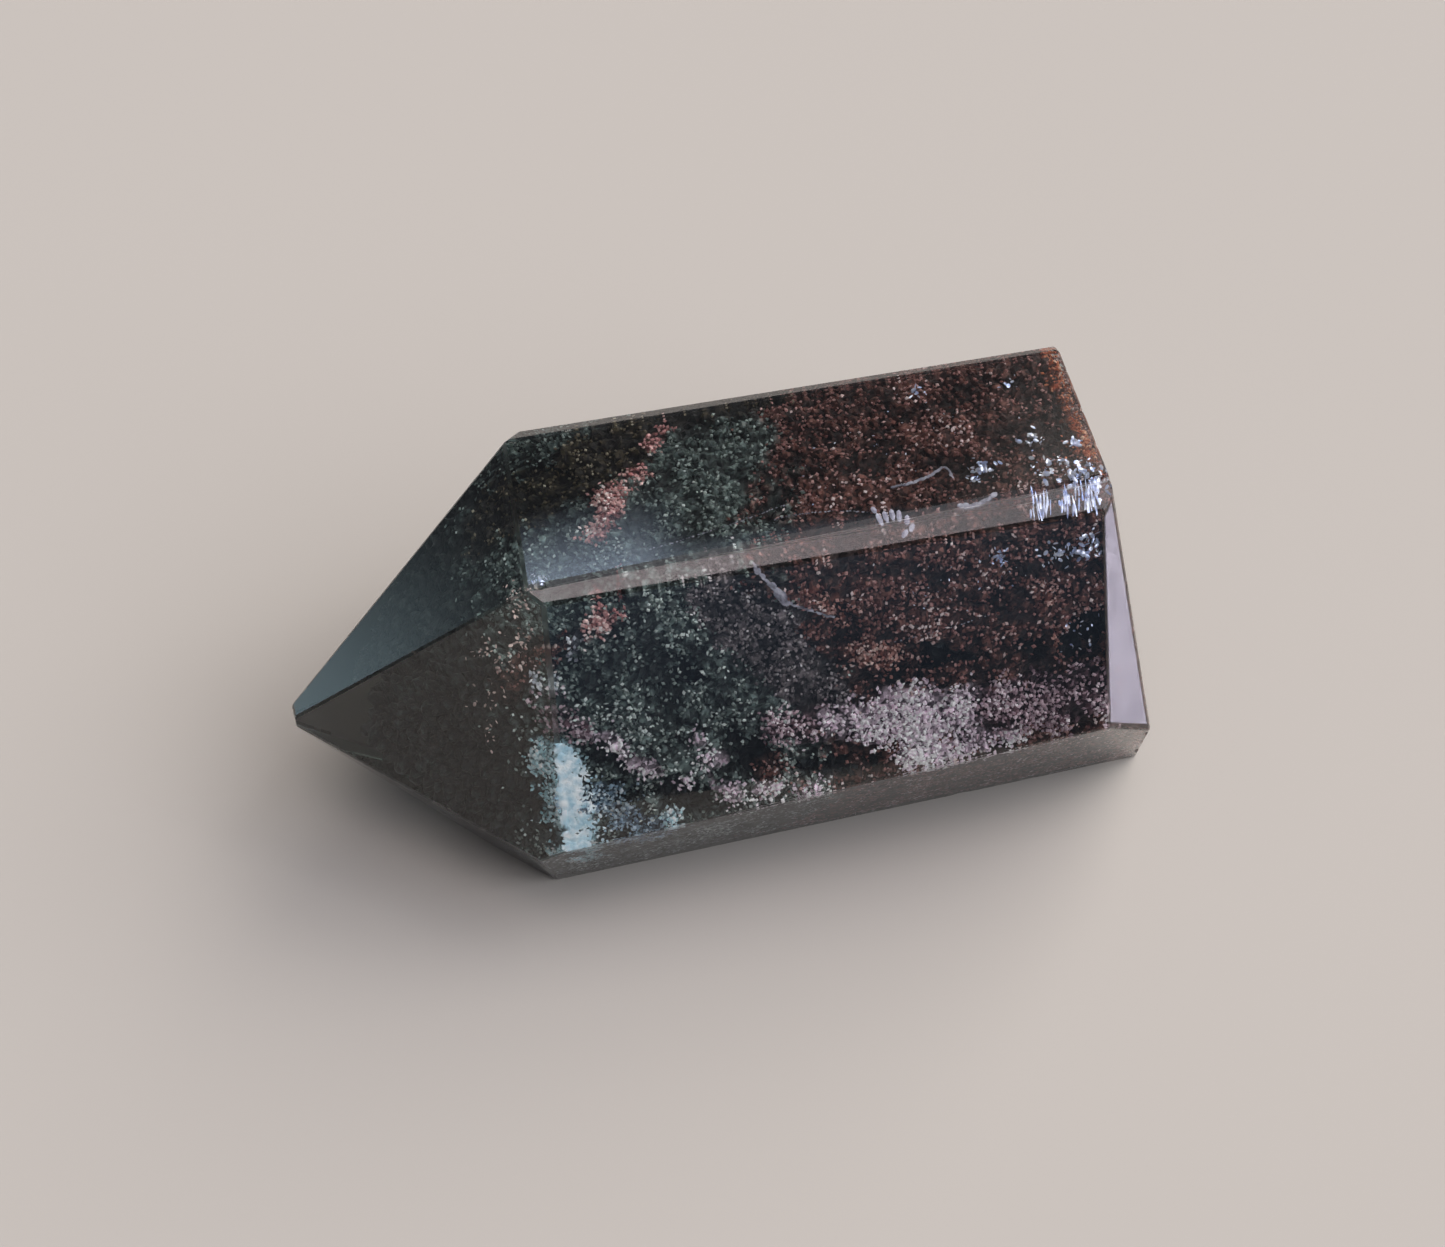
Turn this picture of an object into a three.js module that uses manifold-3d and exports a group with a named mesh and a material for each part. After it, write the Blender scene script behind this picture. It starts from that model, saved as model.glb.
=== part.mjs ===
// Lodolite quartz point: a polished six-sided quartz crystal with a slanted base, lying on one of its sides.
// A mossy garden of mineral grains fills it, and clear quartz covers the garden all round.
// Millimetres, +Z up. X runs along the crystal, from its tip at -X to its base at +X.
// The origin is under the middle of the crystal's box, on the surface that the crystal lies on.
import * as THREE from 'three';
import { mergeVertices } from 'three/addons/utils/BufferGeometryUtils.js';
import Module from 'manifold-3d';

const wasm = await Module();
wasm.setup();

// Driving dimensions

// Rough block that every facet is cut from, larger than the finished crystal each way
const ROUGH_LENGTH = 70;
const ROUGH_WIDTH = 44;

// A point on the crystal's long axis, half way up the crystal
const AXIS_POINT = new THREE.Vector3(-2.7, -0.66, 12.07);

// Each facet is a flat cut. around turns it about the long axis: 0 faces the front (-Y), 90 faces up.
// lean tips it towards the base (positive) or the tip (negative). reach is its distance from AXIS_POINT.
const FACETS = {
  sideTop: { around: 89.5, lean: -2.5, reach: 12.74 },
  sideFrontUpper: { around: 27.3, lean: -2.0, reach: 10.9 },
  sideFrontLower: { around: -24.5, lean: 2.0, reach: 12.96 },
  sideResting: { around: -90, lean: 0, reach: AXIS_POINT.z },
  sideBackLower: { around: -150.5, lean: 0.9, reach: 12.4 },
  sideBackUpper: { around: 150.6, lean: 0.8, reach: 12.89 },
  tipTop: { around: 91.8, lean: -41.5, reach: 15.52 },
  tipFrontUpper: { around: 28.5, lean: -33.4, reach: 13.89 },
  tipFrontLower: { around: -31.8, lean: -39.9, reach: 17.2 },
  tipUnder: { around: -91, lean: -41, reach: 17.6 },
  tipBackLower: { around: -149, lean: -38.5, reach: 15.9 },
  tipBackUpper: { around: 150.5, lean: -39, reach: 15.15 },
  base: { around: 86, lean: 80.8, reach: 27.65 },
};

// Flats ground along an edge or a corner of the crystal, given in the same way
const FLATS = {
  ridgeFlat: { around: 62.9, lean: -2.2, reach: 13.48 },
  backRidgeFlat: { around: 120.3, lean: -1.2, reach: 14.44 },
  baseFrontFlat: { around: 26.7, lean: 40.4, reach: 25.08 },
};

// Wear that rounds the tip and the upper back corner of the base
const WORN_CORNERS = {
  tipBlunt: { around: 30, lean: -84, reach: 24.42 },
  tipBluntTop: { around: 90, lean: -66, reach: 21.98 },
  tipBluntUnder: { around: -90, lean: -62, reach: 22.4 },
  baseCornerInner: { around: 121.8, lean: 14.7, reach: 20.95 },
  baseCornerMiddle: { around: 114.2, lean: 31.5, reach: 26.35 },
  baseCornerOuter: { around: 99.8, lean: 48.4, reach: 29.2 },
};

// Every edge between two facets is worn to a narrow flat this far below the sharp edge
const EDGE_WEAR = 0.05;
const BASE_EDGE_WEAR = 0.09;
// Facets whose normals differ by more than this meet in no edge that can be worn
const WIDEST_EDGE_ANGLE = 105;

// Conchoidal chips: each is a shallow hollow struck into the edge between two facets.
// at fixes the place along the edge by one coordinate, width is the hollow's width.
const CHIPS = [
  { edge: ['sideTop', 'base'], at: { y: 3.4 }, width: 0.9 },
  { edge: ['sideTop', 'base'], at: { y: 1.9 }, width: 0.6 },
  { edge: ['sideTop', 'base'], at: { y: 0.1 }, width: 1.1 },
  { edge: ['sideTop', 'base'], at: { y: -2.9 }, width: 0.8 },
  { edge: ['ridgeFlat', 'base'], at: { y: -5.6 }, width: 0.9 },
  { edge: ['baseFrontFlat', 'base'], at: { z: 19 }, width: 0.7 },
  { edge: ['sideFrontLower', 'base'], at: { z: 7.6 }, width: 1.6 },
  { edge: ['sideFrontLower', 'base'], at: { z: 4.9 }, width: 1.1 },
  { edge: ['sideFrontLower', 'base'], at: { z: 2.2 }, width: 1.9 },
  { edge: ['sideResting', 'base'], at: { y: 2.5 }, width: 1.6 },
  { edge: ['sideBackLower', 'base'], at: { z: 5.8 }, width: 1.3 },
  { edge: ['sideBackUpper', 'base'], at: { z: 17.5 }, width: 1.5 },
  { edge: ['sideBackUpper', 'base'], at: { z: 21.2 }, width: 0.9 },
  { edge: ['sideTop', 'ridgeFlat'], at: { x: -11.6 }, width: 0.8 },
  { edge: ['sideTop', 'backRidgeFlat'], at: { x: -7.8 }, width: 0.5 },
  { edge: ['sideFrontLower', 'sideResting'], at: { x: 14.8 }, width: 1.4 },
  { edge: ['sideFrontLower', 'sideResting'], at: { x: 19.6 }, width: 0.9 },
  { edge: ['sideBackLower', 'sideBackUpper'], at: { x: 3.2 }, width: 1.2 },
  { edge: ['tipTop', 'tipFrontUpper'], at: { x: -19.5 }, width: 0.45 },
];
// How far each hollow reaches below the worn edge, as a share of its width
const CHIP_DEPTH_SHARE = 0.16;
// The lens of stone that leaves each hollow, as shares of its width along, across and out of the edge
const CHIP_LENS = { along: 1.15, across: 0.85, out: 0.7 };
// Each lens is turned by this much from the one before it, in degrees, so that no two hollows are alike
const CHIP_TURN = 57;

// The clear quartz is parted in an upper and a lower half at this height, around the garden's pocket
const PARTING_HEIGHT = 12;

// How far below each face of the crystal the garden begins
const GARDEN_DEPTHS = {
  sideTop: 1.7,
  ridgeFlat: 1.7,
  sideFrontUpper: 1.5,
  sideFrontLower: 1.2,
  sideResting: 1.0,
  sideBackLower: 1.2,
  sideBackUpper: 1.0,
  backRidgeFlat: 1.0,
  base: 0.7,
  baseFrontFlat: 1.0,
  tipTop: 5.3,
  tipFrontUpper: 4.3,
  tipFrontLower: 2.5,
  tipUnder: 2.0,
  tipBackLower: 2.5,
  tipBackUpper: 1.7,
};
// Room between the garden and the wall of its pocket
const POCKET_ROOM = 0.3;

// Shallow hollows wind round the garden in even steps, from its nose to its base end.
// turn is in degrees. The width grows from narrowest to widest in a repeating row of sizes.
const HOLLOWS = { count: 46, firstX: -11.5, lastX: 23, turn: 137.5, narrowest: 3, widest: 5, sizes: 5 };
// How deep and how long a hollow is, as shares of its width
const HOLLOW_DEPTH_SHARE = 0.17;
const HOLLOW_LENGTH_SHARE = 1.3;

// Deep dark gaps in the moss, seen through the front face. Each runs along a line of the given length.
const DARK_GAPS = [
  { at: [-6.6, -10.4, 11.6], along: [0.76, -0.4, -0.5], length: 5, width: 1.7, depth: 1 },
  { at: [-2.9, -11.9, 9.7], along: [0.8, -0.25, -0.55], length: 4, width: 1.8, depth: 1.1 },
  { at: [6.3, -11.9, 10.8], along: [1, 0, 0], length: 2.6, width: 1.3, depth: 0.8 },
  { at: [10.4, -9.3, 16.3], along: [1, 0, 0.1], length: 3.4, width: 1.8, depth: 1.1 },
  { at: [21, -9.4, 16.6], along: [0.9, 0.2, 0.4], length: 3.2, width: 2.4, depth: 1.2 },
  { at: [-3.3, -8, 17.6], along: [0.3, -0.4, -0.9], length: 2, width: 1.4, depth: 0.8 },
];

const QUARTZ_COLOUR = 0xb9c2bd;
const QUARTZ_ROUGHNESS = 0.05;
const QUARTZ_OPACITY = 0.35;
const GARDEN_COLOUR = 0x4a4a40;
const GARDEN_ROUGHNESS = 0.9;

// Geometry helpers

function facetNormal(facet) {
  const around = THREE.MathUtils.degToRad(facet.around);
  const lean = THREE.MathUtils.degToRad(facet.lean);
  return new THREE.Vector3(
    Math.sin(lean),
    -Math.cos(lean) * Math.cos(around),
    Math.cos(lean) * Math.sin(around),
  );
}

// A facet as a plane: the stone lies on the side where normal . point < distance
function facetPlane(facet) {
  const normal = facetNormal(facet);
  return { normal, distance: facet.reach + normal.dot(AXIS_POINT) };
}

// The narrow flat that wear leaves along the edge where two planes meet
function wornEdgePlane(first, second, depth) {
  const sum = first.normal.clone().add(second.normal);
  const length = sum.length();
  return { normal: sum.divideScalar(length), distance: (first.distance + second.distance) / length - depth };
}

// The one point that three planes share
function meetingPoint(a, b, c) {
  const bc = b.normal.clone().cross(c.normal);
  const ca = c.normal.clone().cross(a.normal);
  const ab = a.normal.clone().cross(b.normal);
  const volume = a.normal.dot(bc);
  return bc.multiplyScalar(a.distance)
    .add(ca.multiplyScalar(b.distance))
    .add(ab.multiplyScalar(c.distance))
    .divideScalar(volume);
}

// The plane on which one coordinate has the given value
function coordinatePlane(at) {
  const [[axis, value]] = Object.entries(at);
  const normal = new THREE.Vector3();
  normal[axis] = 1;
  return { normal, distance: value };
}

// A three.js geometry as a solid that can be cut
function solidOf(geometry) {
  const bare = geometry.clone();
  bare.deleteAttribute('normal');
  bare.deleteAttribute('uv');
  const merged = mergeVertices(bare, 1e-5);
  return new wasm.Manifold(new wasm.Mesh({
    numProp: 3,
    vertProperties: new Float32Array(merged.attributes.position.array),
    triVerts: new Uint32Array(merged.index.array),
  }));
}

// A solid as a three.js geometry with flat faces
function geometryOf(solid) {
  const mesh = solid.getMesh();
  const geometry = new THREE.BufferGeometry();
  geometry.setAttribute('position', new THREE.BufferAttribute(mesh.vertProperties, 3));
  geometry.setIndex(new THREE.BufferAttribute(mesh.triVerts, 1));
  geometry.computeVertexNormals();
  return geometry;
}

// The block of waste on the outer side of a plane
function wasteBeyond(plane) {
  const size = 2 * ROUGH_LENGTH;
  const block = new THREE.BoxGeometry(size, size, size);
  block.translate(0, 0, size / 2);
  const reach = plane.distance - plane.normal.dot(AXIS_POINT);
  const onPlane = AXIS_POINT.clone().addScaledVector(plane.normal, reach);
  const turn = new THREE.Quaternion().setFromUnitVectors(new THREE.Vector3(0, 0, 1), plane.normal);
  block.applyQuaternion(turn);
  block.translate(...onPlane.toArray());
  return solidOf(block);
}

// The hollow that one chip leaves, as a lens of stone to take away
function chipWaste(chip, planes, index) {
  const [first, second] = chip.edge.map((name) => planes[name]);
  const onEdge = meetingPoint(first, second, coordinatePlane(chip.at));
  const outward = first.normal.clone().add(second.normal).normalize();
  const along = first.normal.clone().cross(second.normal).normalize();
  const lens = new THREE.IcosahedronGeometry(chip.width / 2, 1);
  lens.rotateY(THREE.MathUtils.degToRad(index * CHIP_TURN));
  lens.scale(CHIP_LENS.along, CHIP_LENS.across, CHIP_LENS.out);
  lens.applyMatrix4(new THREE.Matrix4().makeBasis(along, outward.clone().cross(along), outward));
  const rise = (CHIP_LENS.out / 2 - CHIP_DEPTH_SHARE) * chip.width - EDGE_WEAR;
  lens.translate(...onEdge.addScaledVector(outward, rise).toArray());
  return solidOf(lens);
}

// What a list of flat cuts leaves of the rough block
function cutFromRough(planes) {
  const rough = new THREE.BoxGeometry(ROUGH_LENGTH, ROUGH_WIDTH, ROUGH_WIDTH);
  rough.translate(...AXIS_POINT.toArray());
  return planes.reduce((stone, plane) => stone.subtract(wasteBeyond(plane)), solidOf(rough));
}

// The crystal

function crystalPlanes() {
  const cuts = Object.entries({ ...FACETS, ...FLATS, ...WORN_CORNERS });
  return Object.fromEntries(cuts.map(([name, facet]) => [name, facetPlane(facet)]));
}

function makeCrystal(planes) {
  let stone = cutFromRough(Object.values(planes));

  const names = [...Object.keys(FACETS), ...Object.keys(FLATS)];
  const widest = THREE.MathUtils.degToRad(WIDEST_EDGE_ANGLE);
  names.forEach((name, index) => {
    for (const other of names.slice(index + 1)) {
      if (planes[name].normal.angleTo(planes[other].normal) < widest) {
        const depth = [name, other].includes('base') ? BASE_EDGE_WEAR : EDGE_WEAR;
        stone = stone.subtract(wasteBeyond(wornEdgePlane(planes[name], planes[other], depth)));
      }
    }
  });

  CHIPS.forEach((chip, index) => {
    stone = stone.subtract(chipWaste(chip, planes, index));
  });
  return stone;
}

// The garden and its pocket

// The crystal's faces, drawn in by the garden's depths less the given room
function gardenPlanes(planes, room) {
  return Object.entries(GARDEN_DEPTHS).map(([name, depth]) => ({
    normal: planes[name].normal,
    distance: planes[name].distance - depth + room,
  }));
}

// Where a line leaves the garden's block, going from the long axis at x straight out at a turn in degrees
function gardenSurface(walls, x, turn) {
  const angle = THREE.MathUtils.degToRad(turn);
  const outward = new THREE.Vector3(0, Math.cos(angle), Math.sin(angle));
  const start = new THREE.Vector3(x, AXIS_POINT.y, AXIS_POINT.z);
  const reaches = walls
    .filter((wall) => wall.normal.dot(outward) > 0)
    .map((wall) => (wall.distance - wall.normal.dot(start)) / wall.normal.dot(outward));
  return { point: start.addScaledVector(outward, Math.min(...reaches)), outward };
}

// A rounded lump of waste: its middle, the way that it runs, the way out, and its sizes along, across and out
function lensAt(middle, along, outward, sizes) {
  const lens = new THREE.IcosahedronGeometry(0.5, 1);
  lens.scale(...sizes);
  const across = outward.clone().cross(along).normalize();
  const ahead = across.clone().cross(outward).normalize();
  lens.applyMatrix4(new THREE.Matrix4().makeBasis(ahead, across, outward));
  lens.translate(...middle.toArray());
  return solidOf(lens);
}

function makeGarden(planes) {
  const walls = gardenPlanes(planes, 0);
  let garden = cutFromRough(walls);
  for (let index = 0; index < HOLLOWS.count; index += 1) {
    const share = index / (HOLLOWS.count - 1);
    const x = THREE.MathUtils.lerp(HOLLOWS.firstX, HOLLOWS.lastX, share);
    const size = (index % HOLLOWS.sizes) / (HOLLOWS.sizes - 1);
    const width = THREE.MathUtils.lerp(HOLLOWS.narrowest, HOLLOWS.widest, size);
    const { point, outward } = gardenSurface(walls, x, index * HOLLOWS.turn);
    const along = new THREE.Vector3(1, 0, 0).applyAxisAngle(outward, index);
    const sizes = [width * HOLLOW_LENGTH_SHARE, width, 2 * HOLLOW_DEPTH_SHARE * width];
    garden = garden.subtract(lensAt(point, along, outward, sizes));
  }
  for (const gap of DARK_GAPS) {
    const middle = new THREE.Vector3(...gap.at);
    const outward = new THREE.Vector3(0, middle.y - AXIS_POINT.y, middle.z - AXIS_POINT.z).normalize();
    const along = new THREE.Vector3(...gap.along);
    garden = garden.subtract(lensAt(middle, along, outward, [gap.length, gap.width, 2 * gap.depth]));
  }
  return garden;
}

const planes = crystalPlanes();
const pocket = cutFromRough(gardenPlanes(planes, POCKET_ROOM));
const clearQuartz = makeCrystal(planes).subtract(pocket);
const above = { normal: new THREE.Vector3(0, 0, 1), distance: PARTING_HEIGHT };
const below = { normal: new THREE.Vector3(0, 0, -1), distance: -PARTING_HEIGHT };

const quartz = new THREE.MeshStandardMaterial({
  color: QUARTZ_COLOUR,
  roughness: QUARTZ_ROUGHNESS,
  metalness: 0,
  transparent: true,
  opacity: QUARTZ_OPACITY,
  flatShading: true,
});
const moss = new THREE.MeshStandardMaterial({
  color: GARDEN_COLOUR,
  roughness: GARDEN_ROUGHNESS,
  metalness: 0,
  flatShading: true,
});

function named(name, solid, material) {
  const mesh = new THREE.Mesh(geometryOf(solid), material);
  mesh.name = name;
  return mesh;
}

const lodolitePoint = new THREE.Group();
lodolitePoint.add(
  named('quartz_lower_half', clearQuartz.subtract(wasteBeyond(above)), quartz),
  named('quartz_upper_half', clearQuartz.subtract(wasteBeyond(below)), quartz),
  named('mineral_garden', makeGarden(planes), moss),
);

export default lodolitePoint;
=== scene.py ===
# Looks of a polished lodolite quartz point: clear quartz around a mossy garden of mineral grains.
# Blender units are metres. Sizes below are in millimetres and are turned to metres by MM.
import math

import bmesh
import bpy
import numpy as np
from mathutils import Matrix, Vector, noise


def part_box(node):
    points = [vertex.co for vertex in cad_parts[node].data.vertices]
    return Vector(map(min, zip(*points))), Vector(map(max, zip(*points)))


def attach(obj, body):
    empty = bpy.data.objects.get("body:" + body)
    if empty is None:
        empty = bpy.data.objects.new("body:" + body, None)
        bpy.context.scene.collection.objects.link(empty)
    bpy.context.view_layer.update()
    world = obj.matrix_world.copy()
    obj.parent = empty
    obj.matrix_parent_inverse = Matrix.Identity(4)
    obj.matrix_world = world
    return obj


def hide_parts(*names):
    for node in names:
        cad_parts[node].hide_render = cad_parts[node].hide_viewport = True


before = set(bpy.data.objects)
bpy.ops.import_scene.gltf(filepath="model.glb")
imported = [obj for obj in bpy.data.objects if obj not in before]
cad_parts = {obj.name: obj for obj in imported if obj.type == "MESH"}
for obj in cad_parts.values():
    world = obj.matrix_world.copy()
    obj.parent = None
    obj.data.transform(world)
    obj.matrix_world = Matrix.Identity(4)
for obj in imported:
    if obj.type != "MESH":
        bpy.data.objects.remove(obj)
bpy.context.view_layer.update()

MM = 0.001
HALVES = ("quartz_lower_half", "quartz_upper_half")
GARDEN = "mineral_garden"

# Two narrow faces have a softer polish than the rest: the flat along the front ridge, and the flat
# beside the base. These are the ways that they look.
RIDGE_FLAT = (-0.038, -0.455, 0.889)
BASE_FLAT = (0.648, -0.680, 0.342)

# The quartz: its roughness where the polish is softer, and what it does to light
QUARTZ_IOR = 1.544
BEST_POLISH = 0.0
CLOUDY_POLISH = 0.04        # the most that polishing haze adds, in clouds of POLISH_CLOUD
RIDGE_POLISH = 0.24
BASE_POLISH = 0.35
WORN_POLISH = 0.26
POLISH_CLOUD = 6 * MM
SCRATCH_SPACING = 0.5 * MM
SCRATCH_STRETCH = 0.12      # scratches run along the crystal, about eight times as long as wide
SCRATCH_DEPTH = 0.02 * MM
SMOKE = (0.72, 0.80, 0.78, 1.0)
SMOKE_PER_METRE = 90.0

# The crystal's mesh
SMALLEST_FACE = 6.0         # mm2: flats smaller than this are wear, not faces
SAME_WAY = 0.996            # faces whose directions agree to this cosine look the same way
WELD = 0.002 * MM           # corners nearer than this are one, and nearer than SEAM_GAP across the seam
SEAM_GAP = 0.003 * MM
LEVEL = 0.001 * MM          # heights that agree to this are the same

# The garden
GARDEN_STEP = 0.27          # mm between the garden's mesh points
LUMP_SIZE = 3.6             # mm across a lump of the garden, and how far it stands out
LUMP_HEIGHT = 0.45
CLUMP_SIZE = 0.85           # mm across a clump of moss on the lumps, and the depth of the cracks between
CLUMP_HEIGHT = 0.8
HOLE_DEPTH = 0.8            # mm that a dark hole sinks further into the garden
NOSE = (-14.5, -10.5)       # X in mm: nothing grows before the first, all that can after the last
CLEAR_SKIN = 0.3            # mm of clear quartz that always stays over the garden's ground
GRAIN_SKIN = 0.1            # and over its grains
GRAIN_POINTS = 6            # points of one grain's mesh
CRUMB = 0.3 * MM            # across a crumb of one shade in the ground
GRIT = 0.25 * MM            # between the ground's finest bumps, and their depth
GRIT_DEPTH = 0.15 * MM
STRAY = 0.16 * MM           # how far a grain strays from the spot that it was given

# What grows where: a kind of grain, the two ends of its path and its half width, all in mm
PATCHES = [
    # top face: a quiet olive corner, a pink cluster with an arm, a rusty band along the base
    ("olive", (-11.5, 4.0, 18.0), (-5.0, 4.8, 22.8), 2.4),
    ("olive", (-5.0, 6.5, 22.5), (5.0, 7.5, 23.0), 1.5),
    ("pink", (-7.6, -0.6, 21.9), (-5.6, 1.2, 22.4), 0.75),
    ("pink", (-6.2, 0.8, 22.7), (-4.0, 2.7, 22.9), 0.45),
    ("pink", (-4.0, 2.7, 22.9), (-1.8, 5.9, 23.0), 0.35),
    ("ember", (22.9, 5.0, 23.2), (23.2, -2.0, 23.6), 1.1),
    # front face, left: a grey-mauve zone between green and red, pink and white clumps, a pale cyan wedge
    # of painted light
    ("ash", (-1.1, -6.1, 21.5), (1.1, -7.2, 19.5), 2.0),
    ("ash", (1.1, -7.2, 19.5), (3.3, -9.0, 16.2), 2.0),
    ("ash", (3.3, -9.0, 16.2), (4.4, -9.7, 14.9), 1.6),
    ("pink", (-9.5, -4.9, 19.9), (-6.8, -5.0, 20.8), 0.75),
    ("white", (-9.6, -4.6, 19.8), (-9.9, -4.6, 18.5), 0.25),
    ("white", (-9.9, -4.6, 18.5), (-11.0, -4.8, 17.2), 0.35),
    ("white", (-11.2, -4.8, 17.0), (-11.5, -5.0, 15.9), 0.5),
    ("mauve", (-11.3, -5.8, 14.6), (-9.8, -7.4, 13.6), 0.6),
    # painted light: pale cyan grains where light shines through the crystal
    ("painted_light_cyan", (-11.5, -7.4, 11.6), (-10.8, -10.8, 5.6), 1.1),
    ("lilac", (-9.6, -9.8, 9.2), (-6.6, -12.0, 8.4), 1.2),
    ("painted_light_cyan", (-7.6, -12.6, 9.3), (-4.5, -12.6, 9.2), 0.3),
    ("dark", (-8.6, -9.6, 13.2), (-6.4, -10.6, 11.5), 0.85),
    ("dark", (-6.4, -10.6, 11.5), (-4.2, -11.5, 10.0), 1.2),
    ("dark", (-4.2, -11.5, 10.0), (-1.8, -12.0, 9.4), 0.7),
    ("dark", (-1.3, -10.1, 12.8), (0.4, -10.7, 11.8), 0.9),
    ("dark", (3.7, -11.4, 10.7), (7.2, -12.1, 9.8), 1.0),
    ("dark", (0.0, -12.0, 9.4), (1.0, -12.0, 9.3), 0.45),
    ("dark", (-3.4, -7.6, 17.7), (-3.2, -7.9, 17.2), 0.7),
    ("dark", (-8.4, -6.0, 20.2), (-7.6, -6.2, 19.4), 0.6),
    ("pale", (-9.0, -8.2, 13.5), (-6.6, -10.0, 12.8), 0.25),
    ("pale", (-6.6, -10.0, 12.8), (-3.4, -11.4, 10.9), 0.25),
    ("pale", (-3.3, -11.4, 11.5), (-1.2, -12.4, 9.8), 0.25),
    ("pale", (-2.0, -12.0, 10.4), (1.1, -12.2, 10.3), 0.15),
    ("pale", (-2.9, -10.5, 13.3), (-1.8, -11.1, 12.1), 0.2),
    ("pale", (-3.9, -9.9, 14.3), (-3.3, -10.0, 14.0), 0.15),
    # front face, right: a pale mossy bank with dark gaps above it, rusty tufts
    ("mauve", (1.5, -10.1, 14.1), (4.9, -10.5, 13.7), 1.0),
    ("pale", (4.9, -10.5, 13.7), (8.0, -10.7, 13.5), 0.9),
    ("pale", (8.0, -10.7, 13.5), (11.1, -11.0, 13.1), 1.8),
    ("pale", (11.1, -11.0, 13.1), (15.5, -11.2, 13.1), 1.5),
    ("mauve", (15.5, -11.2, 13.1), (22.4, -11.4, 13.2), 1.8),
    ("pale", (2.3, -12.4, 9.9), (3.4, -12.4, 10.0), 0.2),
    ("pale", (9.4, -12.0, 11.2), (16.0, -12.2, 11.2), 0.6),
    ("dark", (9.2, -9.3, 16.2), (11.6, -9.2, 16.4), 1.0),
    ("dark", (13.0, -9.3, 16.5), (14.6, -9.4, 16.4), 0.5),
    ("dark", (17.4, -9.6, 16.2), (18.2, -9.8, 16.0), 0.6),
    ("dark", (20.2, -9.6, 16.2), (22.2, -9.2, 17.2), 1.2),
    ("rust", (4.6, -6.2, 22.0), (6.2, -7.3, 19.8), 0.7),
    ("rust", (6.8, -8.0, 18.2), (8.6, -8.9, 16.8), 0.7),
    ("rust", (19.0, -7.9, 19.4), (19.1, -9.8, 15.8), 0.4),
    # under the shoulder: iron stain with a few pale specks, seen through the tip
    ("iron", (-13.2, -4.6, 14.8), (-11.4, -4.6, 18.6), 1.2),
]

# Colours of the grains, as sRGB hex, from the darkest to the brightest, whose top stops are a painted
# sparkle on the few that reach them
GRAIN_COLOURS = {
    "chlorite": ("#222d2b", "#55635f", "#87958f", "#aebbb6", "#e6f0ec"),
    "iron": ("#2c1612", "#70443d", "#9a6b65", "#bd9690", "#e8d7d5"),
    "olive": ("#1a160d", "#39301f", "#5a4f3b", "#827863", "#c2b9a3"),
    "ash": ("#2f2b2c", "#625b5d", "#8c8385", "#b3abad", "#e9e4e5"),
    "pale": ("#8a7484", "#ccb6c6", "#ecdbe7", "#faf0f7", "#ffffff"),
    "mauve": ("#4c3840", "#997e88", "#c7acb6", "#e4d3da", "#fdf5f8"),
    "pink": ("#6f4141", "#c08381", "#e6b5b0", "#f8dbd6", "#fff4f1"),
    "white": ("#8d909c", "#c4c8d2", "#e6e9f0", "#f9fafd", "#ffffff"),
    "painted_light_cyan": ("#8fbfca", "#bfe2ea", "#e0f4f9", "#f3fdff", "#ffffff"),
    "lilac": ("#7f9bb4", "#b4cfe3", "#d8eaf6", "#f2f9fe", "#ffffff"),
    "rust": ("#4a2320", "#915c50", "#ba8b80", "#d8b5aa", "#f2dcd4"),
    "ember": ("#5a2012", "#a5522f", "#c9744c", "#dd9a76", "#f0c8ac"),
}
GRAIN_NAMES = {
    "chlorite": "chlorite_grains",
    "iron": "iron_stained_quartz_grains",
    "olive": "olive_clay_grains",
    "ash": "ash_grey_grains",
    "pale": "pale_feldspar_grains",
    "mauve": "mauve_feldspar_grains",
    "pink": "pink_feldspar_grains",
    "white": "white_quartz_grains",
    "painted_light_cyan": "cyan_grains_painted_light",
    "lilac": "grey_feldspar_grains",
    "rust": "rust_stained_grains",
    "ember": "orange_iron_grains",
}
GROUND_COLOURS = {
    "chlorite": "#55625f",
    "iron": "#5a3b34",
    "olive": "#2a2418",
    "ash": "#5b5557",
    "pale": "#d9c6d3",
    "mauve": "#5e464d",
    "pink": "#8f5b59",
    "white": "#a6a9b3",
    "painted_light_cyan": "#b9dde5",
    "lilac": "#9bb7cc",
    "rust": "#6a4036",
    "ember": "#8a4126",
    "dark": "#151c1e",
}


# Small helpers

def linear(hex_colour):
    """An sRGB hex colour as linear RGBA."""
    def channel(text):
        v = int(text, 16) / 255
        return v / 12.92 if v <= 0.04045 else ((v + 0.055) / 1.055) ** 2.4
    return tuple(channel(hex_colour[i:i + 2]) for i in (1, 3, 5)) + (1.0,)


def add_node(tree, kind, inputs=None, **settings):
    """Adds a node, applies its settings, and sets or links its inputs, by name or by number."""
    node = tree.nodes.new(kind)
    for name, value in settings.items():
        setattr(node, name, value)
    for key, value in (inputs or {}).items():
        if isinstance(value, bpy.types.NodeSocket):
            tree.links.new(value, node.inputs[key])
        else:
            node.inputs[key].default_value = value
    return node


def new_material(name):
    """An empty node material and its tree."""
    material = bpy.data.materials.new(name)
    material.use_nodes = True
    material.node_tree.nodes.clear()
    return material, material.node_tree


def mesh_object(name, mesh):
    thing = bpy.data.objects.new(name, mesh)
    bpy.context.scene.collection.objects.link(thing)
    return thing


def made_plain(name, source):
    """The evaluated object as a plain mesh object with no modifiers. The source goes."""
    depsgraph = bpy.context.evaluated_depsgraph_get()
    mesh = bpy.data.meshes.new_from_object(source.evaluated_get(depsgraph))
    bpy.data.objects.remove(source)
    return mesh_object(name, mesh)


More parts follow.
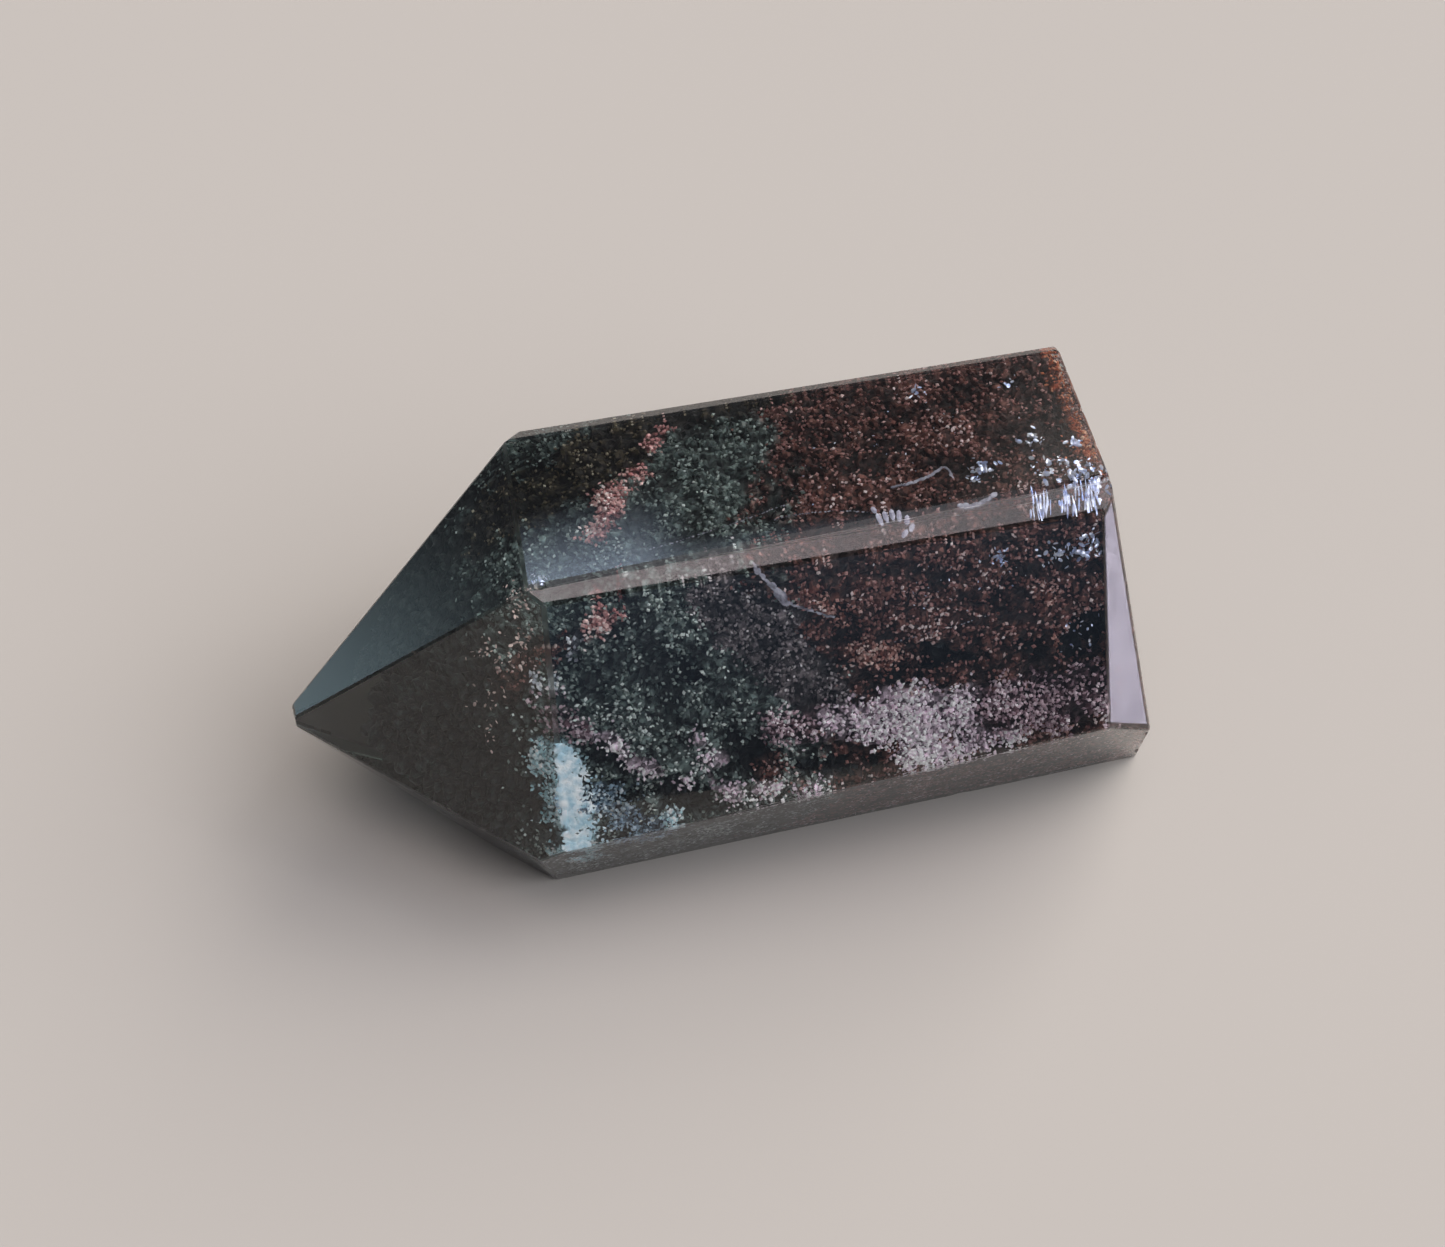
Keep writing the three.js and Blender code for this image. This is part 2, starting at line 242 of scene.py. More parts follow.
def fractal(points, size, octaves=3, shift=0.0):
    """Smooth noise from -1 to 1 at each point, its blobs about size mm across. points are in mm."""
    away = Vector((shift, -shift, 2 * shift))
    return np.array([noise.fractal(Vector(p) / size + away, 1.0, 2.0, octaves) for p in points])


def clumpiness(points, size):
    """1 in the middle of a rounded clump about size mm across, and 0 in the cracks between clumps."""
    nearest = np.array([noise.voronoi(Vector(p) / size)[0][:2] for p in points])
    return np.clip((nearest[:, 1] - nearest[:, 0]) * 2.0, 0, 1)


def smooth_step(value, low, high):
    t = np.clip((value - low) / (high - low), 0, 1)
    return t * t * (3 - 2 * t)


# Materials

def facing(tree, normal, way):
    """1 on the face that looks this way in the crystal's own frame, and 0 on the others."""
    likeness = add_node(tree, "ShaderNodeVectorMath", {0: normal, 1: way}, operation="DOT_PRODUCT")
    return add_node(tree, "ShaderNodeMath", {0: likeness.outputs["Value"], 1: SAME_WAY},
                    operation="GREATER_THAN").outputs[0]


def quartz_material():
    """Hand-polished clear quartz: glossy faces, two softer flats, duller worn edges, smoky in depth."""
    material, tree = new_material("hand_polished_clear_quartz")
    coordinates = add_node(tree, "ShaderNodeTexCoord").outputs
    place, normal = coordinates["Object"], coordinates["Normal"]
    worn = add_node(tree, "ShaderNodeAttribute", attribute_name="worn").outputs["Fac"]
    haze = add_node(tree, "ShaderNodeTexNoise", {
        "Vector": place, "Scale": 1 / POLISH_CLOUD, "Detail": 4.0})
    rough = add_node(tree, "ShaderNodeMapRange", {
        "Value": haze.outputs["Fac"], "From Min": 0.35, "From Max": 0.7, "To Min": BEST_POLISH,
        "To Max": CLOUDY_POLISH}).outputs["Result"]
    on_ridge, on_base = (facing(tree, normal, way) for way in (RIDGE_FLAT, BASE_FLAT))
    for where, polish in ((on_ridge, RIDGE_POLISH), (on_base, BASE_POLISH), (worn, WORN_POLISH)):
        rough = add_node(tree, "ShaderNodeMath", {0: where, 1: polish, 2: rough},
                         operation="MULTIPLY_ADD").outputs[0]
    along = add_node(tree, "ShaderNodeMapping", {
        "Vector": place, "Scale": (SCRATCH_STRETCH, 1, 1), "Rotation": (0, 0.3, 0.5)})
    scratches = add_node(tree, "ShaderNodeTexNoise", {
        "Vector": along.outputs["Vector"], "Scale": 1 / SCRATCH_SPACING, "Detail": 2.0})
    bump = add_node(tree, "ShaderNodeBump", {
        "Strength": 0.012, "Distance": SCRATCH_DEPTH, "Height": scratches.outputs["Fac"]})
    shader = add_node(tree, "ShaderNodeBsdfPrincipled", {
        "Base Color": (1, 1, 1, 1), "Roughness": rough, "IOR": QUARTZ_IOR,
        "Transmission Weight": 1.0, "Normal": bump.outputs["Normal"]})
    depth = add_node(tree, "ShaderNodeVolumeAbsorption", {"Color": SMOKE, "Density": SMOKE_PER_METRE})
    add_node(tree, "ShaderNodeOutputMaterial", {"Surface": shader.outputs["BSDF"],
                                                "Volume": depth.outputs["Volume"]})
    return material


def ground_material():
    """Packed chlorite and iron clay behind the grains: matt, crumbly, darker than what grows on it."""
    material, tree = new_material("packed_chlorite_clay")
    place = add_node(tree, "ShaderNodeTexCoord").outputs["Object"]
    # the soil attribute holds the ground's colours with painted shade in the cracks and at the nose
    soil = add_node(tree, "ShaderNodeAttribute", attribute_name="soil").outputs["Color"]
    crumbs = add_node(tree, "ShaderNodeTexVoronoi", {"Vector": place, "Scale": 1 / CRUMB})
    speck = add_node(tree, "ShaderNodeSeparateColor", {"Color": crumbs.outputs["Color"]})
    uneven = add_node(tree, "ShaderNodeMath", {0: speck.outputs["Red"], 1: 2.0}, operation="POWER")
    shade = add_node(tree, "ShaderNodeMapRange", {"Value": uneven.outputs[0], "From Min": 0.0,
                                                  "From Max": 1.0, "To Min": 0.3, "To Max": 2.6})
    shaded = add_node(tree, "ShaderNodeVectorMath", {0: soil, "Scale": shade.outputs["Result"]},
                      operation="SCALE")
    grit = add_node(tree, "ShaderNodeTexNoise", {"Vector": place, "Scale": 1 / GRIT, "Detail": 3.0})
    bump = add_node(tree, "ShaderNodeBump", {
        "Strength": 0.7, "Distance": GRIT_DEPTH, "Height": grit.outputs["Fac"]})
    shader = add_node(tree, "ShaderNodeBsdfPrincipled", {
        "Base Color": shaded.outputs["Vector"], "Roughness": 0.75, "Normal": bump.outputs["Normal"]})
    add_node(tree, "ShaderNodeOutputMaterial", {"Surface": shader.outputs["BSDF"]})
    return material


def grain_material(kind):
    """Mineral grains of one colour: each has its own shade, most dull and a few with a painted sparkle
    from the ramp's top stops.
    """
    material, tree = new_material(GRAIN_NAMES[kind])
    tint = add_node(tree, "ShaderNodeAttribute", attribute_name="tint").outputs["Fac"]
    ramp = add_node(tree, "ShaderNodeValToRGB", {"Fac": tint})
    stops = (0.0, 0.3, 0.6, 0.88, 1.0)
    while len(ramp.color_ramp.elements) < len(stops):
        ramp.color_ramp.elements.new(0.5)
    for element, stop, colour in zip(ramp.color_ramp.elements, stops, GRAIN_COLOURS[kind]):
        element.position = stop
        element.color = linear(colour)
    shader = add_node(tree, "ShaderNodeBsdfPrincipled", {
        "Base Color": ramp.outputs["Color"], "Roughness": 0.45})
    add_node(tree, "ShaderNodeOutputMaterial", {"Surface": shader.outputs["BSDF"]})
    return material


def cloud_colour(tree, size, detail, stops):
    """A colour that drifts between two, in clouds of the given size in metres."""
    place = add_node(tree, "ShaderNodeTexCoord").outputs["Object"]
    cloud = add_node(tree, "ShaderNodeTexNoise", {"Vector": place, "Scale": 1 / size, "Detail": detail})
    ramp = add_node(tree, "ShaderNodeValToRGB", {"Fac": cloud.outputs["Fac"]})
    for element, (position, colour) in zip(ramp.color_ramp.elements, stops):
        element.position = position
        element.color = linear(colour)
    return ramp.outputs["Color"]


def fracture_material(name, dim, bright, shine=0.0):
    """Healed fractures: thin skins that throw back a cold pale light, patchy from place to place."""
    material, tree = new_material(name)
    patches = cloud_colour(tree, 0.6 * MM, 3.0, ((0.35, dim), (0.65, bright)))
    shader = add_node(tree, "ShaderNodeBsdfPrincipled", {
        "Base Color": patches, "Roughness": 0.3, "Metallic": shine})
    add_node(tree, "ShaderNodeOutputMaterial", {"Surface": shader.outputs["BSDF"]})
    return material


def veil_material():
    """A faint veil: grey-lilac and cloudy, just under the flat beside the base, a painted reflection of
    window light.
    """
    material, tree = new_material("pale_veil_painted_reflection")
    painted_reflection_colour = cloud_colour(tree, 2.5 * MM, 4.0, ((0.3, "#9e99ac"), (0.7, "#cbc6d8")))
    shader = add_node(tree, "ShaderNodeBsdfPrincipled", {"Base Color": painted_reflection_colour, "Roughness": 0.6})
    add_node(tree, "ShaderNodeOutputMaterial", {"Surface": shader.outputs["BSDF"]})
    return material


# The clear crystal and its faces, from the frame

def shells(shape):
    """The faces of each separate shell."""
    left = set(shape.faces)
    found = []
    while left:
        shell, front = [], [left.pop()]
        while front:
            face = front.pop()
            shell.append(face)
            beside = {other for edge in face.edges for other in edge.link_faces} & left
            left -= beside
            front.extend(beside)
        found.append(shell)
    return found


def close_seam(shape):
    """Gives both sides of an open seam the same corners, and joins them."""
    def corner_on(edge, corners):
        start, run = edge.verts[0].co, edge.verts[1].co - edge.verts[0].co
        for corner in corners:
            share = (corner - start).dot(run) / run.length_squared
            clear_of_ends = SEAM_GAP < share * run.length < run.length - SEAM_GAP
            if clear_of_ends and (start + run * share - corner).length < SEAM_GAP:
                return share
        return None

    found = True
    while found:
        found = False
        rim = [edge for edge in shape.edges if len(edge.link_faces) == 1]
        corners = [vert.co.copy() for vert in {vert for edge in rim for vert in edge.verts}]
        for edge in rim:
            share = corner_on(edge, corners)
            if share is not None:
                bmesh.utils.edge_split(edge, edge.verts[0], share)
                found = True
        bmesh.ops.remove_doubles(shape, verts=shape.verts[:], dist=SEAM_GAP)
    bmesh.ops.triangulate(shape, faces=[face for face in shape.faces if len(face.verts) > 3])


def way_of(polygon):
    """The way that a face looks, rounded, so that faces in one plane share it."""
    return tuple(round(c, 2) for c in polygon.normal)


def areas_by_way(mesh):
    """The whole area in mm2 of the faces that look each way."""
    areas = {}
    for polygon in mesh.polygons:
        areas[way_of(polygon)] = areas.get(way_of(polygon), 0.0) + polygon.area / (MM * MM)
    return areas


def make_clear_point():
    """One clear crystal from the outsides of its two halves, without the parting and the pocket."""
    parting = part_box(HALVES[0])[1][2]
    shape = bmesh.new()
    for name in HALVES:
        shape.from_mesh(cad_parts[name].data)
    bmesh.ops.remove_doubles(shape, verts=shape.verts[:], dist=WELD)
    shape.normal_update()
    on_parting = [face for face in shape.faces if abs(face.normal.z) > SAME_WAY
                  and abs(face.calc_center_median().z - parting) < LEVEL]
    bmesh.ops.delete(shape, geom=on_parting, context="FACES")
    low = min(vert.co.z for vert in shape.verts) + LEVEL
    high = max(vert.co.z for vert in shape.verts) - LEVEL
    for shell in shells(shape):
        if all(low < vert.co.z < high for face in shell for vert in face.verts):
            bmesh.ops.delete(shape, geom=shell, context="FACES")
    close_seam(shape)
    for face in shape.faces:
        face.smooth = False
    shape.normal_update()
    open_edges = sum(1 for edge in shape.edges if not edge.is_manifold)
    print("clear_point", len(shape.faces), "triangles,", open_edges, "open edges")
    mesh = bpy.data.meshes.new("clear_point")
    shape.to_mesh(mesh)
    shape.free()
    mesh.materials.append(quartz_material())
    worn = mesh.attributes.new("worn", "FLOAT", "FACE")
    areas = areas_by_way(mesh)
    worn.data.foreach_set("value", [areas[way_of(polygon)] < SMALLEST_FACE for polygon in mesh.polygons])
    crystal = mesh_object("clear_point", mesh)
    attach(crystal, "root")
    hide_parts(*HALVES)
    return crystal


def flat_faces(crystal):
    """The crystal's flat faces as (outward normal, distance from the origin in mm)."""
    sums = {}
    for polygon in crystal.data.polygons:
        entry = sums.setdefault(way_of(polygon), [Vector(), 0.0, 0.0])
        entry[0] += polygon.normal * polygon.area
        entry[1] += polygon.normal.dot(polygon.center) * polygon.area
        entry[2] += polygon.area
    found = []
    for total, reach, area in sums.values():
        if area > SMALLEST_FACE * MM * MM:
            found.append((total.normalized(), reach / area / MM))
    return found


def keep_inside(piece, faces, points_each, skin):
    """Draws bits of a piece back under the crystal's faces. Each bit has points_each points."""
    mesh = piece.data
    places = np.zeros(len(mesh.vertices) * 3)
    mesh.vertices.foreach_get("co", places)
    bits = places.reshape(-1, points_each, 3) / MM
    for normal, reach in faces:
        outward = np.array(normal)
        over = (bits @ outward).max(axis=1) - (reach - skin)
        bits -= np.clip(over, 0, None)[:, None, None] * outward
    mesh.vertices.foreach_set("co", (bits * MM).ravel())
    mesh.update()


# The garden's ground

def distance_to_path(points, start, end):
    """Distance of each point from a straight path, in mm."""
    a, b = np.array(start, float), np.array(end, float)
    run = b - a
    share = np.clip(((points - a) @ run) / max(run @ run, 1e-9), 0, 1)
    return np.linalg.norm(points - (a + share[:, None] * run), axis=1)


def garden_weights(points):
    """How much of each kind of grain grows at each point, from 0 to 1. points is an array in mm."""
    broad = fractal(points, 5.0, 3, 3.1)
    ragged = fractal(points, 1.5, 3, 7.7)
    fine = fractal(points, 0.6, 2, 12.3)
    red = smooth_step(points[:, 0] + 4.0 * broad + 2.5 * ragged + 1.5 * fine, 2.0, 5.0)
    weights = {name: np.zeros(len(points)) for name in GROUND_COLOURS}
    weights["iron"] = red
    weights["chlorite"] = 1 - red
    for kind, start, end, radius in PATCHES:
        away = distance_to_path(points, start, end) + 0.8 * ragged + 0.5 * fine
        here = 1 - smooth_step(away, radius - 0.15, radius + 0.15)
        for name in weights:
            weights[name] *= 1 - here
        weights[kind] = np.maximum(weights[kind], here)
    return weights


def make_ground(faces):
    """The lumpy mass that the grains grow on, with its colours, its painted shade and painted light, and
    grain weights as attributes.
    """
    block = mesh_object("garden_block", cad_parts[GARDEN].data.copy())
    remesh = block.modifiers.new("even_mesh", "REMESH")
    remesh.mode = "VOXEL"
    remesh.voxel_size = GARDEN_STEP * MM
    smooth = block.modifiers.new("no_steps", "SMOOTH")
    smooth.factor = 0.5
    smooth.iterations = 22
    ground = made_plain("garden_ground", block)
    mesh = ground.data

    count = len(mesh.vertices)
    places = np.zeros(count * 3)
    mesh.vertices.foreach_get("co", places)
    places = places.reshape(-1, 3) / MM
    normals = np.array([v.normal for v in mesh.vertices]).reshape(-1, 3)
    weights = garden_weights(places)
    lumps = fractal(places, LUMP_SIZE, 3, 1.7)
    clumps = clumpiness(places + 0.25 * lumps[:, None], CLUMP_SIZE)
    grit = fractal(places, 0.5, 2, 9.4)
    tufts = fractal(places, 1.9, 2, 5.3)
    rise = LUMP_HEIGHT * lumps + CLUMP_HEIGHT * (clumps - 0.5) + 0.15 * grit
    rise += 0.5 * (weights["pale"] + weights["mauve"]) - HOLE_DEPTH * weights["dark"]
    moved = places + normals * rise[:, None]
    for normal, reach in faces:
        outward = np.array(normal)
        over = moved @ outward - (reach - CLEAR_SKIN)
        moved -= np.outer(np.clip(over, 0, None), outward)
    mesh.vertices.foreach_set("co", (moved * MM).ravel())

    soil = np.zeros((count, 4))
    for kind, colour in GROUND_COLOURS.items():
        soil += weights[kind][:, None] * np.array(linear(colour))
    total = sum(weights[kind] for kind in GROUND_COLOURS)
    soil /= np.maximum(total, 1e-6)[:, None]
    grown = smooth_step(places[:, 0] + 1.5 * lumps + 1.2 * grit, *NOSE)
    # Painted shade: the ground's colour is darkened in the cracks between clumps, a little less on the
    # pale bank
    cracks = 1 - smooth_step(clumps + 0.5 * lumps + 0.7 * tufts, 0.05, 0.85)
    soil *= (1 - 0.85 * cracks * (1 - 0.25 * weights["pale"]))[:, None]
    # Painted shade: the bare ground before the nose is darkened to near black
    soil *= (0.12 + 0.88 * grown)[:, None]
    soil[:, 3] = 1
    colours = mesh.attributes.new("soil", "FLOAT_COLOR", "POINT")
    colours.data.foreach_set("color", soil.ravel())
    growth = grown * smooth_step(clumps + 0.35 * grit + 0.8 * tufts, 0.1, 0.6)
    # Painted light: grains are paler on clump tops and raised lumps and darker in the cracks, and
    # chlorite and iron grains are paler where the ground faces the front; the tufts and the pale bank add
    # real tone
    front = smooth_step(-normals[:, 1], 0.3, 0.8)
    tone_and_painted_light = 0.4 * (clumps - 0.5) + 0.25 * lumps + 0.3 * tufts + 0.4 * weights["pale"]
    tone_and_painted_light += (0.2 * front - 0.06) * weights["chlorite"] + 0.1 * front * weights["iron"]
    light = mesh.attributes.new("light", "FLOAT", "POINT")
    light.data.foreach_set("value", tone_and_painted_light)
    for kind in GRAIN_COLOURS:
        where = growth
        if kind == "pink":
            where = np.maximum(growth, 0.5 * weights[kind])
        layer = mesh.attributes.new("grows_" + kind, "FLOAT", "POINT")
        layer.data.foreach_set("value", weights[kind] * where)
    mesh.update()
    mesh.materials.clear()
    mesh.materials.append(ground_material())
    return ground


# Grains, scattered by Geometry Nodes

def grain_tree():
    """A node tree that grows faceted grains on a surface where its named attribute is high."""
    tree = bpy.data.node_groups.new("scatter_grains", "GeometryNodeTree")
    face = tree.interface
    face.new_socket("Geometry", in_out="INPUT", socket_type="NodeSocketGeometry")
    for name, kind, value in (
            ("Per Square Metre", "NodeSocketFloat", 1e6), ("Where", "NodeSocketString", ""),
            ("Grain Size", "NodeSocketFloat", 0.2 * MM), ("Lift", "NodeSocketFloat", 0.5 * MM),
            ("Seed", "NodeSocketInt", 1), ("Material", "NodeSocketMaterial", None)):
        socket = face.new_socket(name, in_out="INPUT", socket_type=kind)
        if value is not None:
            socket.default_value = value
    face.new_socket("Geometry", in_out="OUTPUT", socket_type="NodeSocketGeometry")

    given = add_node(tree, "NodeGroupInput").outputs
    where = add_node(tree, "GeometryNodeInputNamedAttribute", {"Name": given["Where"]}, data_type="FLOAT")
    density = add_node(tree, "ShaderNodeMath", {
        0: given["Per Square Metre"], 1: where.outputs["Attribute"]}, operation="MULTIPLY")
    points = add_node(tree, "GeometryNodeDistributePointsOnFaces", {
        "Mesh": given["Geometry"], "Density": density.outputs[0], "Seed": given["Seed"]})

    chance = add_node(tree, "FunctionNodeRandomValue", {"Seed": given["Seed"]}, data_type="FLOAT")
    squared = add_node(tree, "ShaderNodeMath", {0: chance.outputs[1], 1: 2.0}, operation="POWER")
    height = add_node(tree, "ShaderNodeMath", {0: squared.outputs[0], 1: given["Lift"]},
                      operation="MULTIPLY")
    offset = add_node(tree, "ShaderNodeVectorMath", {
        0: points.outputs["Normal"], "Scale": height.outputs[0]}, operation="SCALE")
    lifted = add_node(tree, "GeometryNodeSetPosition", {
        "Geometry": points.outputs["Points"], "Offset": offset.outputs["Vector"]})

    turn = add_node(tree, "FunctionNodeRandomValue", {
        0: (0, 0, 0), 1: (math.tau, math.tau, math.tau)}, data_type="FLOAT_VECTOR")
    stretch = add_node(tree, "FunctionNodeRandomValue", {
        0: (0.45, 0.45, 0.35), 1: (1.25, 1.1, 0.9)}, data_type="FLOAT_VECTOR")
    scale = add_node(tree, "ShaderNodeVectorMath", {
        0: stretch.outputs["Value"], "Scale": given["Grain Size"]}, operation="SCALE")
    octahedron = add_node(tree, "GeometryNodeMeshUVSphere", {"Segments": 4, "Rings": 2, "Radius": 1.0})
    grains = add_node(tree, "GeometryNodeInstanceOnPoints", {
        "Points": lifted.outputs["Geometry"], "Instance": octahedron.outputs["Mesh"],
        "Rotation": turn.outputs["Value"], "Scale": scale.outputs["Vector"]})
    luck = add_node(tree, "FunctionNodeRandomValue", {"Seed": 77}, data_type="FLOAT")
    patchy = add_node(tree, "ShaderNodeTexNoise", {"Scale": 1 / (1.6 * MM), "Detail": 2.0})
    drift = add_node(tree, "ShaderNodeMapRange", {
        "Value": patchy.outputs[0], "From Min": 0.3, "From Max": 0.7, "To Min": -0.15, "To Max": 0.25})
    # the ground's painted light, with patchy real tone, shifts each grain's tint
    light = add_node(tree, "GeometryNodeInputNamedAttribute", {"Name": "light"}, data_type="FLOAT")
    painted_light_and_drift = add_node(tree, "ShaderNodeMath", {0: light.outputs["Attribute"], 1: drift.outputs["Result"]},
                   operation="ADD")
    shade = add_node(tree, "ShaderNodeMath", {0: luck.outputs[1], 1: 0.8, 2: painted_light_and_drift.outputs[0]},
                     operation="MULTIPLY_ADD")
    tinted = add_node(tree, "GeometryNodeStoreNamedAttribute", {
        "Geometry": grains.outputs["Instances"], "Name": "tint", "Value": shade.outputs[0]},
        data_type="FLOAT", domain="INSTANCE")
    solid = add_node(tree, "GeometryNodeRealizeInstances", {"Geometry": tinted.outputs["Geometry"]})
    finished = add_node(tree, "GeometryNodeSetMaterial", {
        "Geometry": solid.outputs["Geometry"], "Material": given["Material"]})
    add_node(tree, "NodeGroupOutput", {"Geometry": finished.outputs["Geometry"]})
    return tree


def let_stray(piece, seed):
    """Moves each grain a little aside, so that grains never stand in rows."""
    mesh = piece.data
    places = np.zeros(len(mesh.vertices) * 3)
    mesh.vertices.foreach_get("co", places)
    grains = places.reshape(-1, GRAIN_POINTS, 3)
    grains += np.random.default_rng(seed).normal(0, STRAY, (len(grains), 1, 3))
    mesh.vertices.foreach_set("co", grains.ravel())
    mesh.update()


def scatter(tree, ground, name, kind, per_mm2, size, lift, seed):
    """One piece of grains of one kind, grown on the ground."""
    grower = mesh_object(name + "_grower", ground.data)
    modifier = grower.modifiers.new("grains", "NODES")
    modifier.node_group = tree
    values = {"Per Square Metre": per_mm2 / (MM * MM), "Where": "grows_" + kind,
              "Grain Size": size * MM, "Lift": lift * MM, "Seed": seed,
              "Material": grain_material(kind)}
    for item in tree.interface.items_tree:
        if item.in_out == "INPUT" and item.name in values:
            modifier[item.identifier] = values[item.name]
    return made_plain(name, grower)


# Scatterings: piece, kind of grain, grains per mm2, size and greatest height above the ground in mm
SCATTERINGS = [
    ("chlorite_moss", "chlorite", 12.0, 0.16, 0.5),
    ("iron_moss", "iron", 12.0, 0.16, 0.5),
    ("olive_moss", "olive", 8.0, 0.15, 0.5),
    ("pale_moss", "pale", 40.0, 0.17, 0.7),
    ("mauve_moss", "mauve", 34.0, 0.17, 0.7),
    ("pink_clusters", "pink", 45.0, 0.18, 0.6),
    ("white_clusters", "white", 50.0, 0.2, 0.6),
    ("cyan_painted_light_grains", "painted_light_cyan", 40.0, 0.17, 0.4),
    ("grey_grains", "lilac", 34.0, 0.16, 0.6),
    ("rust_grains", "rust", 34.0, 0.16, 0.6),
    ("ash_grains", "ash", 20.0, 0.14, 0.5),
    ("ember_grains", "ember", 30.0, 0.14, 0.5),
]


def make_garden(faces):
    ground = make_ground(faces)
    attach(ground, "root")
    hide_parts(GARDEN)
    print("garden_ground", len(ground.data.polygons) * 2, "triangles")
    tree = grain_tree()
    for seed, (name, kind, per_mm2, size, lift) in enumerate(SCATTERINGS, start=1):
        piece = scatter(tree, ground, name, kind, per_mm2, size, lift, seed)
        let_stray(piece, seed)
        keep_inside(piece, faces, GRAIN_POINTS, GRAIN_SKIN)
        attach(piece, "root")
        print(name, len(piece.data.polygons), "triangles")


# Healed fractures: silvery flakes, beads and arcs close under the polished faces

FLAKE_RIM = 7               # points around a flake, which has a tip on each side too
FLAKE_POINTS = FLAKE_RIM + 2

# Arcs and strings of overlapping flakes: start, middle and end in mm, half width, number of flakes
STRINGS = [
    ((10.4, -2.7, 24.4), (12.3, -2.8, 24.4), (13.7, -1.9, 24.5), 0.09, 60),    # arc on top
    ((13.7, -1.9, 24.5), (14.2, -2.0, 24.5), (14.1, -2.9, 24.5), 0.08, 20),
    ((13.9, -5.1, 24.7), (14.8, -5.4, 24.7), (16.2, -4.8, 24.8), 0.11, 48),    # arc under it
    ((-4.7, -3.8, 23.6), (-0.4, -3.4, 23.9), (3.9, -2.4, 24.0), 0.05, 46),     # long faint line on top
    ((3.0, -3.4, 24.0), (6.0, -3.2, 24.1), (8.6, -4.2, 24.1), 0.05, 30),
    ((1.1, -6.0, 23.6), (1.5, -6.4, 23.2), (2.5, -7.0, 22.0), 0.13, 30),       # beads on the front
    ((2.5, -7.0, 22.0), (2.6, -7.1, 21.8), (2.7, -7.2, 21.6), 0.26, 10),
    ((3.0, -7.2, 21.3), (4.0, -7.5, 20.8), (5.6, -7.9, 20.2), 0.1, 26),
    ((9.0, -9.0, 18.2), (12.0, -8.9, 18.4), (15.1, -8.7, 18.9), 0.045, 22),    # thin arc over the bank
]

# Sprays of separate flakes: middle, spread in mm, number, size
SPRAYS = [
    ((16.0, -2.6, 24.7), (0.45, 0.3, 0.1), 34, 0.22),     # clusters on top
    ((15.3, -3.3, 24.7), (0.2, 0.2, 0.1), 10, 0.16),
    ((19.5, -1.2, 24.9), (0.45, 0.4, 0.1), 26, 0.22),
    ((22.2, -2.0, 25.0), (0.3, 0.3, 0.1), 14, 0.2),
    ((20.0, -3.4, 24.9), (0.6, 0.5, 0.1), 34, 0.2),
    ((21.3, -4.3, 24.9), (0.7, 0.5, 0.1), 46, 0.24),
    ((22.5, -5.1, 25.0), (0.3, 0.6, 0.1), 26, 0.24),
    ((13.9, 4.4, 24.7), (0.4, 0.3, 0.1), 12, 0.2),
    ((19.4, 3.8, 24.9), (0.3, 0.3, 0.1), 8, 0.2),
    ((21.3, -7.6, 22.5), (0.35, 0.3, 0.6), 44, 0.26),     # clusters on the front
    ((15.8, -7.3, 22.4), (0.4, 0.2, 0.4), 26, 0.2),
    ((19.6, -7.6, 22.1), (0.7, 0.2, 0.5), 34, 0.22),
    ((20.9, -10.0, 17.2), (0.7, 0.4, 0.8), 16, 0.16),
    ((12.0, 0.5, 24.2), (4.0, 2.5, 0.2), 40, 0.09),       # a few lone glints
    ((12.0, -7.6, 21.0), (4.0, 0.5, 1.0), 40, 0.09),
    ((-11.5, -4.7, 24.0), (0.4, 0.3, 0.2), 16, 0.16),     # white bruise on the shoulder's corner
]

# Pale crumbs under the shoulder, seen through the tip: middle, spread in mm, number, size
CRUMBS = [
    ((-15.0, -4.3, 18.3), (0.5, 0.3, 0.5), 14, 0.14),
    ((-15.0, -5.9, 15.4), (0.5, 0.3, 0.8), 18, 0.16),
    ((-13.6, -5.3, 18.3), (0.6, 0.3, 0.8), 26, 0.17),
    ((-15.1, -6.9, 13.3), (0.3, 0.3, 0.6), 9, 0.13),
    ((-12.6, -5.2, 19.9), (0.5, 0.3, 0.8), 26, 0.17),
    ((-12.3, -4.3, 21.8), (0.4, 0.4, 0.5), 20, 0.15),
]

# A wedge of pale cyan flakes low at the shoulder, close under the front face, painted light where light
# shines
# through the crystal: its corners at the top, bottom, low right and right, and the number of flakes in it
FRONT_FACE = (-0.035, -0.888, 0.458)
PAINTED_LIGHT_CORNERS = [(-11.9, -10.3, 15.6), (-12.2, -13.7, 9.1), (-10.1, -13.7, 9.0), (-10.4, -10.9, 14.4)]
PAINTED_LIGHT_FLAKES = 520

# The pale sheet under the flat beside the base, a painted reflection of window light: its size as a share
# of the flat, its depth and thickness
VEIL_SHARE = 0.95
VEIL_DEPTH = 0.14
VEIL_THICKNESS = 0.1

# A fan of short pale petals: the middle of each, how far it leans towards the base, and its half length.
# All are as wide and as thick as each other.
PETAL_HALF_WIDTH = 0.17
PETAL_HALF_THICKNESS = 0.06
UP_THE_FLAT = (0.12, 0.88, 0.45)
FAN = [
    ((8.8, -4.4, 24.8), -0.3, 0.28),
    ((9.0, -5.0, 24.6), -0.3, 0.4),
    ((9.4, -4.9, 24.6), -0.15, 0.36),
    ((9.8, -4.9, 24.7), 0.0, 0.36),
    ((10.2, -5.0, 24.6), 0.15, 0.34),
    ((10.6, -5.3, 24.5), 0.3, 0.32),
    ((10.8, -5.7, 24.3), 0.5, 0.3),
    ((10.3, -6.0, 24.2), 0.9, 0.32),
]

# Bright streaks across the ridge flat: where they begin and end along it, and their number
STREAK_START = (18.0, -6.0, 25.0)
STREAK_END = (22.3, -6.1, 25.0)
STREAKS = 62


